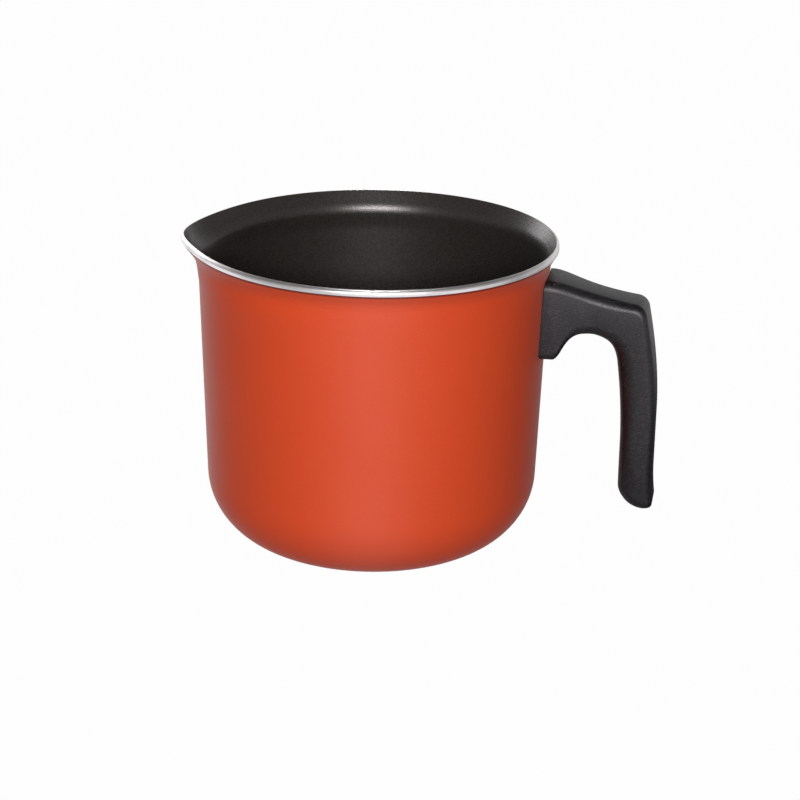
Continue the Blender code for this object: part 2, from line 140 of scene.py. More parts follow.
def grid_faces(rows: int, columns: int, wrap_rows: bool) -> Array:
    """Quads between neighbouring rows of a grid whose columns close on themselves.

    Args:
        rows: Number of rows.
        columns: Number of columns, which wrap round.
        wrap_rows: Whether the last row also joins the first.

    Returns:
        Array of shape (faces, 4).
    """
    first = np.arange(rows if wrap_rows else rows - 1)[:, None]
    second = (first + 1) % rows
    here = np.arange(columns)[None, :]
    beside = (here + 1) % columns
    corners = [first * columns + here, first * columns + beside, second * columns + beside]
    corners.append(second * columns + here)
    return np.stack(np.broadcast_arrays(*corners), axis=-1).reshape(-1, 4)


def fan_faces(pole: int, start: int, columns: int) -> Array:
    """Triangles from a pole to a closed ring of points.

    Args:
        pole: Index of the pole.
        start: Index of the ring's first point.
        columns: Number of points in the ring.

    Returns:
        Array of shape (columns, 3).
    """
    here = np.arange(columns)
    return np.stack([np.full(columns, pole), start + here, start + (here + 1) % columns], axis=1)


def tube_faces(rows: int, columns: int) -> list[Array]:
    """Quads of a tube of rings, and the triangles that close its ends.

    Args:
        rows: Number of rings.
        columns: Number of points in a ring.

    Returns:
        Arrays of faces; the poles of the two ends are the two points after the last ring.
    """
    count = rows * columns
    first_end = fan_faces(count, 0, columns)[:, ::-1]
    return [grid_faces(rows, columns, False), first_end, fan_faces(count + 1, count - columns, columns)]


def put(name: str, data: bpy.types.ID) -> Piece:
    """Puts a new object into the scene, at the origin.

    Args:
        name: Name of the object.
        data: Its mesh, light or camera.

    Returns:
        The object.
    """
    made = bpy.data.objects.new(name, data)
    bpy.context.scene.collection.objects.link(made)
    return made


def build(name: str, points: Array, faces: list[Array]) -> Piece:
    """Makes a smooth-shaded piece whose faces point outward.

    The sum of the triple products of the faces' corners, six times the volume, says which way they
    point; a negative one turns them all round.

    Args:
        name: Name of the piece.
        points: Array of shape (n, 3).
        faces: Arrays of faces with three or four corners each.

    Returns:
        The piece.
    """
    volume = 0.0
    for block in faces:
        a = points[block[:, 0]]
        for k in range(1, block.shape[1] - 1):
            volume += np.einsum("ij,ij->", a, np.cross(points[block[:, k]], points[block[:, k + 1]]))
    turned = [block[:, ::-1] if volume < 0 else block for block in faces]
    mesh = bpy.data.meshes.new(name)
    mesh.from_pydata(points.tolist(), [], [face for block in turned for face in block.tolist()])
    mesh.validate()
    mesh.shade_smooth()
    mesh.set_sharp_from_angle(angle=SHARP_EDGE)
    return put(name, mesh)


def swept(name: str, profile: Array, around: int, closed: bool, form: PanForm | None = None) -> Piece:
    """Carries a (radius, height) profile round Z: (r cos a, r sin a, z) on a grid of angle and profile.

    Args:
        name: Name of the piece.
        profile: Points of shape (n, 2); a closed one is a loop, an open one has both ends on the axis.
        around: Number of angles.
        closed: Whether the profile is a loop.
        form: Pan whose pouring lip is drawn out of the turned shape, if any.

    Returns:
        The piece.
    """
    ring = profile if closed else profile[1:-1]
    angle = np.linspace(0, math.tau, around, endpoint=False)
    radius, height = ring[:, 0][:, None], ring[:, 1][:, None]
    level = np.broadcast_to(height, (len(ring), around))
    points = np.stack([radius * np.cos(angle), radius * np.sin(angle), level], axis=-1).reshape(-1, 3)
    faces = [grid_faces(len(ring), around, True)] if closed else tube_faces(len(ring), around)
    if not closed:
        points = np.concatenate([points, [[0, 0, profile[0, 1]], [0, 0, profile[-1, 1]]]])
    return build(name, form.pull(points) if form else points, faces)


def cut(piece: Piece, cutter: Piece) -> None:
    """Takes the shape of a cutter out of a piece, bakes the result into its mesh and removes the cutter.

    Args:
        piece: Piece that loses the shape.
        cutter: Closed piece to take away.
    """
    modifier = piece.modifiers.new("cut", "BOOLEAN")
    modifier.object = cutter
    modifier.operation = "DIFFERENCE"
    modifier.solver = "EXACT"
    solid = piece.evaluated_get(bpy.context.evaluated_depsgraph_get())
    mesh = bpy.data.meshes.new_from_object(solid)
    piece.modifiers.clear()
    piece.data = mesh
    mesh.name = piece.name
    mesh.set_sharp_from_angle(angle=SHARP_EDGE)
    bpy.data.objects.remove(cutter)


# Shader nodes


class Graph:
    """Nodes of one tree, added and joined in few words."""

    def __init__(self, tree: Tree) -> None:
        """Keeps the tree that the nodes go into."""
        self.tree = tree

    def feed(self, node: Node, values: Values) -> Node:
        """Fills inputs of a node.

        Args:
            node: Node that gets the values.
            values: Input name or number to a socket, which is linked, or to a value, which is set.

        Returns:
            The node.
        """
        for key, value in values.items():
            if isinstance(value, bpy.types.NodeSocket):
                self.tree.links.new(value, node.inputs[key])
            else:
                node.inputs[key].default_value = value
        return node

    def add(self, kind: str, values: Values | None = None, **settings: object) -> Node:
        """Adds a node, sets its properties and fills its inputs.

        Args:
            kind: Node type without its ShaderNode prefix.
            values: Input name or number to a socket or a value.
            **settings: Properties of the node.

        Returns:
            The node.
        """
        node = self.tree.nodes.new(f"ShaderNode{kind}")
        for key, value in settings.items():
            setattr(node, key, value)
        return self.feed(node, values or {})

    def use(self, effect: Tree, **values: float) -> Sockets:
        """Places a shared effect with its own values, and gives its outputs."""
        return self.add("Group", values, node_tree=effect).outputs

    def place(self) -> Socket:
        """Object coordinates, in metres."""
        return self.add("TexCoord").outputs["Object"]

    def calc(self, operation: str, a: Socket | float, b: Socket | float) -> Socket:
        """Result of a math node for two values."""
        return self.add("Math", {0: a, 1: b}, operation=operation).outputs[0]

    def measure(self, operation: str, a: Socket, b: tuple[float, float, float] = (0, 0, 0)) -> Socket:
        """Number that a vector math node gives for one vector or two."""
        return self.add("VectorMath", {0: a, 1: b}, operation=operation).outputs["Value"]

    def spread(self, value: Socket, ramp: Ramp) -> Socket:
        """Maps a value from the first two numbers of a ramp onto its last two, held at its ends."""
        names = ("Value", "From Min", "From Max", "To Min", "To Max")
        return self.add("MapRange", dict(zip(names, (value, *ramp)))).outputs["Result"]

    def noise(self, place: Socket, scale: Socket | float, detail: float = 2.0, rough: float = 0.5) -> Socket:
        """Noise centred on 0.5, whose lumps are about one over its scale across."""
        values = {"Vector": place, "Scale": scale, "Detail": detail, "Roughness": rough}
        return self.add("TexNoise", values).outputs[0]

    def mix(self, share: Socket, a: Socket | float, b: Socket | float) -> Socket:
        """Number between two others, by a share."""
        return self.add("Mix", {0: share, 2: a, 3: b}, data_type="FLOAT").outputs[0]

    def paint(self, share: Socket, under: Socket | Colour, over: Colour) -> Socket:
        """Colour between two others, by a share."""
        ground = under if isinstance(under, bpy.types.NodeSocket) else (*under, 1)
        return self.add("Mix", {0: share, 6: ground, 7: (*over, 1)}, data_type="RGBA").outputs[2]

    def bump(self, height: Socket, depth: float) -> Socket:
        """Normal bent by a height from 0 to 1 over a depth in metres."""
        return self.add("Bump", {"Height": height, "Distance": depth, "Strength": 1.0}).outputs[0]


def group(name: str, inputs: dict[str, float], outputs: tuple[str, ...]) -> tuple[Graph, Sockets, Node]:
    """Starts a shader node group whose inputs and outputs are numbers.

    Args:
        name: Name of the group.
        inputs: Input name to its default.
        outputs: Names of the outputs.

    Returns:
        Its graph, the sockets of what it is given, and its output node.
    """
    tree = bpy.data.node_groups.new(name, "ShaderNodeTree")
    for label, value in inputs.items():
        socket = tree.interface.new_socket(label, in_out="INPUT", socket_type="NodeSocketFloat")
        socket.default_value = value
    for label in outputs:
        tree.interface.new_socket(label, in_out="OUTPUT", socket_type="NodeSocketFloat")
    given = tree.nodes.new("NodeGroupInput").outputs
    return Graph(tree), given, tree.nodes.new("NodeGroupOutput")


@dataclass
class Effects:
    """Node groups that more than one finish uses, each built once."""

    cells_per_lump: float = 2.0
    marks_detail: float = 3.0
    marks_rough: float = 0.6
    smear_detail: float = 4.0
    break_up: float = 9.0
    smear_share: Ramp = (0.45, 0.7, 0.0, 1.0)
    break_up_share: Ramp = (0.3, 0.7, 0.4, 1.0)

    def __post_init__(self) -> None:
        """Builds the groups."""
        self.grain = self.make_grain()
        self.turning = self.make_turning()
        self.handling = self.make_handling()

    def make_grain(self) -> Tree:
        """Fine pebble grain: noise of a size and cells of half the size, each with its own sparkle.

        Returns:
            Group with inputs Size, Fine and outputs Height and Sparkle.
        """
        graph, given, out = group("pebble_grain", {"Size": 0.0004, "Fine": 0.5}, ("Height", "Sparkle"))
        place = graph.place()
        scale = graph.calc("DIVIDE", 1.0, given["Size"])
        finer = graph.calc("MULTIPLY", scale, self.cells_per_lump)
        cells = graph.add("TexVoronoi", {"Vector": place, "Scale": finer}).outputs
        peaks = graph.calc("SUBTRACT", 1.0, cells["Distance"])
        sparkle = graph.add("SeparateColor", {0: cells["Color"]}).outputs[0]
        height = graph.mix(given["Fine"], graph.noise(place, scale, 1.0), peaks)
        graph.feed(out, {"Height": height, "Sparkle": sparkle})
        return graph.tree

    def make_turning(self) -> Tree:
        """Marks of a lathe: noise of the distance from the axis plus the height, drawn out round the axis.

        Returns:
            Group with inputs Pitch, Drift and output Height.
        """
        graph, given, out = group("turning_marks", {"Pitch": 0.0003, "Drift": 2.0}, ("Height",))
        parts = graph.add("SeparateXYZ", {0: graph.place()}).outputs
        flat = graph.add("CombineXYZ", {0: parts[0], 1: parts[1]}).outputs[0]
        around = graph.add("VectorMath", {0: flat}, operation="NORMALIZE").outputs[0]
        ahead = graph.add("VectorMath", {0: around, "Scale": given["Drift"]}, operation="SCALE").outputs[0]
        run = graph.calc("ADD", graph.measure("LENGTH", flat), parts[2])
        wander = graph.add("SeparateXYZ", {0: ahead}).outputs
        marks = {0: wander[0], 1: wander[1], 2: graph.calc("DIVIDE", run, given["Pitch"])}
        spot = graph.add("CombineXYZ", marks).outputs[0]
        graph.feed(out, {"Height": graph.noise(spot, 1.0, self.marks_detail, self.marks_rough)})
        return graph.tree

    def make_handling(self) -> Tree:
        """Faint smears and dust of a used surface: broad noise broken up by a finer one.

        Returns:
            Group with inputs Size, Amount and output Mask.
        """
        graph, given, out = group("handling_smears", {"Size": 0.03, "Amount": 0.2}, ("Mask",))
        place = graph.place()
        scale = graph.calc("DIVIDE", 1.0, given["Size"])
        broad = graph.spread(graph.noise(place, scale, self.smear_detail), self.smear_share)
        fine = graph.noise(place, graph.calc("MULTIPLY", scale, self.break_up))
        mask = graph.calc("MULTIPLY", broad, graph.spread(fine, self.break_up_share))
        graph.feed(out, {"Mask": graph.calc("MULTIPLY", mask, given["Amount"])})
        return graph.tree


# Finishes


@dataclass(frozen=True)
class Finish:
    """A finish: its colour and gloss, to which each kind of finish adds a surface of its own."""

    name: str
    colour: Colour
    roughness: float
    metallic: float = 0.0
    specular: float = 0.5

    def make(self, effects: Effects) -> Material:
        """Builds the material.

        Args:
            effects: Shared node groups.

        Returns:
            The material.
        """
        made = bpy.data.materials.new(self.name)
        made.use_nodes = True
        made.diffuse_color = (*self.colour, 1)
        graph = Graph(made.node_tree)
        shader = graph.feed(made.node_tree.nodes["Principled BSDF"], {
            "Base Color": (*self.colour, 1),
            "Roughness": self.roughness,
            "Metallic": self.metallic,
            "Specular IOR Level": self.specular,
        })
        graph.feed(shader, self.surface(graph, effects))
        return made

    def surface(self, graph: Graph, effects: Effects) -> Values:
        """Works out what this kind of finish feeds the shader beyond its plain values.

        Args:
            graph: Nodes of the material.
            effects: Shared node groups.

        Returns:
            Shader input to a socket or a value.
        """
        return {}

    def gloss(self, graph: Graph, mask: Socket, less: float, more: float) -> Socket:
        """Roughness that a mask moves from so much below its plain value to so much above it."""
        return graph.spread(mask, (0.0, 1.0, self.roughness - less, self.roughness + more))


@dataclass(frozen=True)
class EnamelFinish(Finish):
    """Satin stove enamel: faint orange peel, a fine pearl, painted edge shade, and slight handling smears."""

    pearl: Colour = (0.78, 0.10, 0.025)
    pearl_size: float = 0.00022
    pearl_share: Ramp = (0.55, 0.8, 0.0, 0.5)
    cloud_size: float = 0.03
    cloud_share: Ramp = (0.3, 0.7, 0.0, 0.06)
    # Painted shade: a darker red mixed in as the enamel turns away from view, for light falling off towards
    # its edges.
    painted_edge_shade: Colour = (0.56, 0.052, 0.010)
    edge_shade_share: Ramp = (0.1, 0.7, 0.0, 1.0)
    # Painted shade: a near-black line on the enamel just under the lip's band.
    painted_band_shade: Colour = (0.07, 0.005, 0.003)
    bloom: float = 0.13
    bloom_tone: Colour = (1.0, 0.86, 0.88)
    bloom_rough: float = 0.35
    smear_size: float = 0.035
    smear_amount: float = 0.5
    smear_dulling: float = 0.1
    peel_size: float = 0.0016
    peel_depth: float = 0.0000035
    across_spin: float = 0.7
    spin_turn: float = 0.25

    def surface(self, graph: Graph, effects: Effects) -> Values:
        """Mixes in the pearl, then painted edge shade, then a painted shade line under the lip's band.

        Args:
            graph: Nodes of the material.
            effects: Shared node groups.

        Returns:
            Shader input to a socket or a value.
        """
        place = graph.place()
        flakes = graph.spread(graph.noise(place, 1 / self.pearl_size, 0.0), self.pearl_share)
        cloud = graph.spread(graph.noise(place, 1 / self.cloud_size), self.cloud_share)
        face_on = graph.paint(graph.calc("ADD", flakes, cloud), self.colour, self.pearl)
        # Painted shade: darker red where the enamel turns away from view.
        facing = graph.add("LayerWeight", {"Blend": 0.5}).outputs["Facing"]
        edge_shaded = graph.paint(graph.spread(facing, self.edge_shade_share), face_on, self.painted_edge_shade)
        # Painted shade: near-black under the lip's band, by the attribute written on the coat.
        seam = graph.add("Attribute", attribute_name="seam").outputs["Fac"]
        smears = graph.use(effects.handling, Size=self.smear_size, Amount=self.smear_amount)
        return {
            "Base Color": graph.paint(seam, edge_shaded, self.painted_band_shade),
            "Roughness": self.gloss(graph, smears["Mask"], 0.0, self.smear_dulling),
            "Anisotropic": self.across_spin,
            "Anisotropic Rotation": self.spin_turn,
            "Sheen Weight": self.bloom,
            "Sheen Roughness": self.bloom_rough,
            "Sheen Tint": (*self.bloom_tone, 1),
            "Normal": graph.bump(graph.noise(place, 1 / self.peel_size, 1.0), self.peel_depth),
        }


@dataclass(frozen=True)
class GrainedFinish(Finish):
    """Black pebble grain, each cell of it with its own gloss and its own share of a paler fleck."""

    fleck: Colour = (0.045, 0.038, 0.046)
    fleck_share: Ramp = (0.6, 1.0, 0.0, 0.35)
    sheen_tone: Colour = (1.0, 0.94, 1.0)
    gloss_change: float = 0.05
    grain_size: float = 0.0010
    grain_fine: float = 0.6
    grain_depth: float = 0.00006

    def ground(self, graph: Graph, effects: Effects) -> Socket | Colour:
        """Colour under the flecks."""
        return self.colour

    def surface(self, graph: Graph, effects: Effects) -> Values:
        """Lets the grain's height bend the normal, and its sparkle move the gloss and the colour.

        Args:
            graph: Nodes of the material.
            effects: Shared node groups.

        Returns:
            Shader input to a socket or a value.
        """
        grain = graph.use(effects.grain, Size=self.grain_size, Fine=self.grain_fine)
        flecks = graph.spread(grain["Sparkle"], self.fleck_share)
        return {
            "Base Color": graph.paint(flecks, self.ground(graph, effects), self.fleck),
            "Specular Tint": (*self.sheen_tone, 1),
            "Roughness": self.gloss(graph, grain["Sparkle"], self.gloss_change, self.gloss_change),
            "Normal": graph.bump(grain["Height"], self.grain_depth),
        }


@dataclass(frozen=True)
class LiningFinish(GrainedFinish):
    """Sprayed non-stick: grain that breaks up its highlight, brown-grey flecks and a dull haze."""

    fleck: Colour = (0.070, 0.060, 0.053)
    fleck_share: Ramp = (0.5, 1.0, 0.0, 0.22)
    sheen_tone: Colour = (1.0, 0.93, 0.93)
    gloss_change: float = 0.03
    grain_size: float = 0.0009
    grain_fine: float = 0.45
    grain_depth: float = 0.00004
    haze: float = 0.25
    haze_rough: float = 0.5

    def surface(self, graph: Graph, effects: Effects) -> Values:
        """Adds the haze, a rough thin coat, to the grain."""
        haze = {"Coat Weight": self.haze, "Coat Roughness": self.haze_rough}
        return super().surface(graph, effects) | haze


@dataclass(frozen=True)
class MouldingFinish(GrainedFinish):
    """Black phenolic from a spark-eroded mould: sparkling grain, worn a little where it is held."""

    worn: Colour = (0.014, 0.013, 0.014)
    worn_size: float = 0.02
    worn_amount: float = 0.5

    def ground(self, graph: Graph, effects: Effects) -> Socket | Colour:
        """Mixes the worn colour in where the handling smears are."""
        smears = graph.use(effects.handling, Size=self.worn_size, Amount=self.worn_amount)
        return graph.paint(smears["Mask"], self.colour, self.worn)


@dataclass(frozen=True)
class MetalFinish(Finish):
    """Bare metal: lathe or rolling marks, with a duller bloom in patches."""

    bloom: Colour = (0.5, 0.5, 0.5)
    bloom_size: float = 0.012
    bloom_amount: float = 0.6
    bloom_dulling: float = 0.15
    marks_pitch: float = 0.0003
    marks_depth: float = 0.000004

    def surface(self, graph: Graph, effects: Effects) -> Values:
        """Lets the marks bend the normal, and the bloom dull the gloss and the colour.

        Args:
            graph: Nodes of the material.
            effects: Shared node groups.

        Returns:
            Shader input to a socket or a value.
        """
        marks = graph.use(effects.turning, Pitch=self.marks_pitch)
        bloom = graph.use(effects.handling, Size=self.bloom_size, Amount=self.bloom_amount)["Mask"]
        return {
            "Base Color": graph.paint(bloom, self.colour, self.bloom),
            "Roughness": self.gloss(graph, bloom, 0.0, self.bloom_dulling),
            "Normal": graph.bump(marks["Height"], self.marks_depth),
        }


class Slot(Enum):
    """Material slots of the record and the finishes that they get."""

    ENAMEL = "orange_enamel"
    LINING = "nonstick_lining"
    RIM = "bare_rim"
    BASE = "bare_base"
    MOULDING = "black_moulding"
    STEEL = "pressed_steel"
    RIVET = "rivet_aluminium"
    ZINC = "zinc_steel"
    SPRING = "spring_steel"


FINISHES: dict[Slot, Finish] = {
    Slot.ENAMEL: EnamelFinish("satin_enamel", (0.66, 0.060, 0.012), 0.67),
    Slot.LINING: LiningFinish("nonstick", (0.0205, 0.0174, 0.0152), 0.29, specular=0.62),
    Slot.RIM: MetalFinish("trimmed_lip", (0.88, 0.83, 0.85), 0.32, 0.94, marks_depth=0.000002),
    Slot.BASE: MetalFinish("turned_base", (0.74, 0.74, 0.75), 0.32, 1.0),
    Slot.MOULDING: MouldingFinish("phenolic", (0.0040, 0.0037, 0.0042), 0.45, specular=0.58),
    Slot.STEEL: MetalFinish("bracket_steel", (0.55, 0.55, 0.56), 0.35, 1.0, marks_pitch=0.0006),
    Slot.RIVET: MetalFinish("rivet_metal", (0.8, 0.8, 0.8), 0.3, 1.0),
    Slot.ZINC: MetalFinish("zinc_plate", (0.62, 0.62, 0.6), 0.3, 1.0),
    Slot.SPRING: MetalFinish("spring_metal", (0.45, 0.45, 0.47), 0.38, 1.0),
}

FITTINGS: dict[str, Slot] = {
    "handle_bracket": Slot.STEEL,
    "rivet_upper": Slot.RIVET,
    "rivet_lower": Slot.RIVET,
    "handle_screw": Slot.ZINC,
    "lock_washer": Slot.SPRING,
}


class Workshop:
    """Materials of the whole pan, and the calls that every piece gets."""

    def __init__(self) -> None:
        """Builds the shared effects and all the finishes."""
        effects = Effects()
        self.materials = {slot: finish.make(effects) for slot, finish in FINISHES.items()}

    def dress(self, piece: Piece, slot: Slot) -> None:
        """Gives a new piece its finish, its record slot and its body.

        Args:
            piece: Piece to dress.
            slot: Slot of the record.
        """
        piece.data.materials.clear()
        piece.data.materials.append(self.materials[slot])
        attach(piece, BODY)
        log.info("%s: %d faces in %s", piece.name, len(piece.data.polygons), slot.value)

    def redress(self, node: Piece, slot: Slot) -> None:
        """Gives a node of the frame its finish and leaves its mesh alone.

        Args:
            node: Node to dress.
            slot: Slot of the record.
        """
        for place in node.material_slots:
            place.material = self.materials[slot]
        log.info("%s: kept, in %s", node.name, slot.value)


# Pan


@dataclass
class PanForm:
    """Section of the spun body and the pouring lip pulled out of it."""

    height: float = 0.1257
    body_radius: float = 0.0700
    lower_radius: float = 0.0670
    corner_radius: float = 0.0290
    wall: float = 0.0019
    base: float = 0.0026
    flare_height: float = 0.0097
    flare_bend: float = 0.0090
    flare_angle: float = math.radians(32.5)
    lip_band: float = 0.0024
    lip_round: float = 0.0017
    lip_sweep: float = math.radians(70)
    spout_reach: float = 0.0061
    spout_dip: float = 0.0017
    spout_depth: float = 0.0180
    spout_shoulder: float = 0.0020
    spout_spread: float = math.radians(18)
    pinch: float = 0.0011
    pinch_depth: float = 0.0159
    pinch_shoulder: float = 0.0085
    pinch_full: float = math.radians(44)
    pinch_end: float = math.radians(132)
    least_radius: float = 0.001
    outer_steps: tuple[int, int, int] = (26, 60, 14)
    inner_steps: tuple[int, int, int] = (24, 60, 14)
    lip_steps: int = 10

    @property
    def taper(self) -> float:
        """Angle of the straight wall from the vertical, in radians."""
        rise = self.height - self.flare_height - self.corner_radius
        return math.atan2(self.body_radius - self.lower_radius, rise)

    @property
    def lip_radius(self) -> float:
        """Radius of the lip's edge: the wall's, plus the bend's reach, plus the cone's rise times its slope.

        Returns:
            The radius.
        """
        rise = self.flare_bend * (math.sin(self.flare_angle) - math.sin(self.taper))
        reach = self.flare_bend * (math.cos(self.taper) - math.cos(self.flare_angle))
        cone = self.flare_height - self.lip_band - rise
        return self.body_radius + reach + cone * math.tan(self.flare_angle)

    def wall_radius(self, height: Array | float) -> Array | float:
        """Outer radius of the straight wall at a height: a cone through the lower radius."""
        return self.lower_radius + (height - self.corner_radius) * math.tan(self.taper)

    def skin(
        self, drop: float, corner: float, floor: float, lip: tuple[float, float], steps: tuple[int, int, int]
    ) -> Array:
        """One skin of the body: an arc at its corner, a straight wall, a bend outward, a cone to the lip.

        The bend ends where its tangent meets the lip: at the angle from its centre to the lip plus the
        arccosine of its radius over their distance.

        Args:
            drop: How far this skin lies inside the outer one.
            corner: Radius of its bottom corner.
            floor: Height of its flat floor.
            lip: Point where the flare ends.
            steps: Points on the corner, the wall and the flare.

        Returns:
            Array of shape (n, 2) from the floor's edge up to the lip.
        """
        centre = (self.lower_radius - self.corner_radius, floor + corner)
        bottom = arc(centre, corner, -math.pi / 2, -self.taper, steps[0])
        start = np.array([self.body_radius - drop, self.height - self.flare_height])
        wall = bottom[-1] + (start - bottom[-1]) * np.linspace(0, 1, steps[1] + 1)[1:, None]
        radius = self.flare_bend + drop
        middle = start + radius * np.array([math.cos(self.taper), -math.sin(self.taper)])
        reach = np.array(lip) - middle
        end = math.atan2(reach[1], reach[0]) + math.acos(radius / math.hypot(*reach))
        bend = arc(tuple(middle), radius, math.pi - self.taper, end, steps[2])
        cone = bend[-1] + (np.array(lip) - bend[-1]) * np.linspace(0, 1, steps[2] + 1)[1:, None]
        return np.concatenate([bottom, wall, bend[1:], cone])

    def outer(self) -> Array:
        """Outer skin, from the edge of the flat base to the lower edge of the lip's band."""
        lip = (self.lip_radius, self.height - self.lip_band)
        return self.skin(0, self.corner_radius, 0, lip, self.outer_steps)

    def lip(self) -> Array:
        """Round top of the lip, from its outside to the ridge where the inner skin meets it.

        Returns:
            Array of shape (n, 2).
        """
        drop = self.lip_round * math.sin(self.lip_sweep)
        centre = (self.lip_radius - self.lip_round, self.height - drop)
        return arc(centre, self.lip_round, 0, self.lip_sweep, self.lip_steps)

    def inner(self) -> Array:
        """Inner skin, from the edge of the flat floor up to the lip's top."""
        top = tuple(self.lip()[-1])
        return self.skin(self.wall, self.corner_radius - self.wall, self.base, top, self.inner_steps)

    def pull(self, points: Array) -> Array:
        """Draws out the pouring lip at -X.

        The rim moves outward by the reach times one over cosh squared of the angle from -X, inward by the
        pinch on both sides, and down by the dip, each eased in by smooth steps of the depth below the rim.

        Args:
            points: Array of shape (n, 3) of the turned shape.

        Returns:
            The moved points.
        """
        x, y, z = points.T
        radius = np.maximum(np.hypot(x, y), self.least_radius)
        below = self.height - z
        angle = np.arctan2(y, -x)
        lobe = np.cosh(angle / self.spout_spread) ** -2
        rise = smooth((self.spout_depth - below) / (self.spout_depth - self.spout_shoulder))
        side = 1 - smooth((np.abs(angle) - self.pinch_full) / (self.pinch_end - self.pinch_full))
        draw = smooth((self.pinch_depth - below) / (self.pinch_depth - self.pinch_shoulder))
        scale = 1 + (self.spout_reach * lobe * rise - self.pinch * side * draw) / radius
        return np.stack([x * scale, y * scale, z - self.spout_dip * lobe * rise], axis=1)


@dataclass
class Pan:
    """Body of the pan as it is made: an aluminium core, an enamel coat outside and a lining inside."""

    form: PanForm
    coat: float = 0.00022
    lining: float = 0.00016
    sink: float = 0.00006
    lining_short: float = 0.15
    seam_width: float = 0.0010
    seam_depth: float = 0.00030
    seam_clear: float = 1.2
    band_shade_fade: float = 1.5
    seam_steps: int = 10
    base_step: float = 0.0002
    base_ease: float = 0.0001
    base_back: float = 0.0008
    base_edge: float = 0.0372
    groove_start: float = 0.0130
    groove_pitch: float = 0.0090
    groove_width: float = 0.0012
    groove_depth: float = 0.0004
    groove_ease: float = 0.0001
    groove_count: int = 3
    floor_steps: int = 20
    around: int = 320

    def sprayed(self) -> Array:
        """Outer skin as sprayed: it dips in a half cosine towards the band of the lip, in a fine seam.

        Returns:
            Array of shape (n, 2).
        """
        skin = self.form.outer()
        end, before = skin[-1], skin[-2]
        step = (before - end) / np.linalg.norm(before - end)
        away = np.linspace(1, 0, self.seam_steps) * self.seam_width
        below = skin[np.linalg.norm(skin - end, axis=1) > self.seam_width * self.seam_clear]
        dip = self.seam_depth * (1 + np.cos(math.pi * away / self.seam_width)) / 2
        depth = np.concatenate([np.zeros(len(below)), dip])
        return offset(np.concatenate([below, end + away[:, None] * step]), -depth)

    def coat_profile(self) -> Array:
        """Loop round the enamel: its face, from the base to the lip's band, and its back in the metal."""
        skin = self.sprayed()
        return np.concatenate([skin[1:-1], offset(skin, -self.coat)[::-1]])

    def lining_profile(self) -> Array:
        """Lining from the floor's centre to just short of the lip's top, and back in the metal to the axis.

        Returns:
            Array of shape (n, 2).
        """
        skin = self.form.inner()
        skin[-1] += (skin[-2] - skin[-1]) * self.lining_short
        back = offset(skin, self.lining)[:-1]
        floor = np.linspace(skin[0, 0], 0, self.floor_steps)[1:, None] * [1, 0] + [0, self.form.base]
        return np.concatenate([floor[::-1], skin, back[::-1], floor - [0, self.lining]])

    def groove_path(self) -> Array:
        """Flat underside with its shallow square grooves, from the centre out.

        Returns:
            Array of shape (n, 2).
        """
        start = self.groove_start + np.arange(self.groove_count)[:, None] * self.groove_pitch
        radius = start + np.array([0, 0, 1, 1]) * self.groove_width
        ease = np.array([-1, 1, -1, 1]) * self.groove_ease
        height = np.broadcast_to(np.array([0, 1, 1, 0]) * self.groove_depth, radius.shape)
        return np.stack([(radius + ease).ravel(), height.ravel()], axis=1)

    def base_profile(self) -> Array:
        """Turned base: its grooved underside, an eased edge, and a flat back inside the metal.

        Returns:
            Array of shape (n, 2).
        """
        edge, ease, back = self.base_edge, self.base_ease, self.base_back
        return np.concatenate([
            [(0, 0)], self.groove_path(), [(edge - ease, 0), (edge, ease), (edge, back), (0, back)],
        ])

    def core_profile(self) -> Array:
        """Metal core: bare at the lip, just under the coats and the turned base elsewhere.

        Returns:
            Array of shape (n, 2).
        """
        form, step = self.form, self.base_step
        outer = offset(self.sprayed(), -self.sink)
        inner = offset(form.inner(), self.sink)[::-1]
        under, floor = [(0, step), (self.base_edge, step)], [(0, form.base - self.sink)]
        return np.concatenate([under, outer[1:], form.outer()[-1:], form.lip(), inner[1:], floor])

    def mark_band_shade(self, coat: Piece) -> None:
        """Writes an attribute from 0 to 1 of nearness to the lip's band, where the enamel paints shade.

        The nearness is the fade less the distance in seam widths, held between 0 and 1.

        Args:
            coat: Coat turned from coat_profile.
        """
        away = np.linalg.norm(self.coat_profile() - self.form.outer()[-1], axis=1)
        near = np.clip(self.band_shade_fade - away / self.seam_width, 0, 1)
        seam = coat.data.attributes.new("seam", "FLOAT", "POINT")
        seam.data.foreach_set("value", np.repeat(near, self.around).astype(np.float32))

    def make(self, workshop: Workshop) -> None:
        """Builds and dresses the core, the turned base, the coat and the lining.

        Args:
            workshop: Finishes of the pan.
        """
        around, form = self.around, self.form
        core = swept("pan_core", self.core_profile(), around, False, form)
        base = swept("turned_base", self.base_profile(), around // 2, False)
        coat = swept("enamel_coat", self.coat_profile(), around, True, form)
        # Painted shade under the lip's band: the coat gets the mask for it.
        self.mark_band_shade(coat)
        lining = swept("nonstick_lining", self.lining_profile(), around, False, form)
        slots = {core: Slot.RIM, base: Slot.BASE, coat: Slot.ENAMEL, lining: Slot.LINING}
        for piece, slot in slots.items():
            workshop.dress(piece, slot)
            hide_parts("pan_body")


# Handle


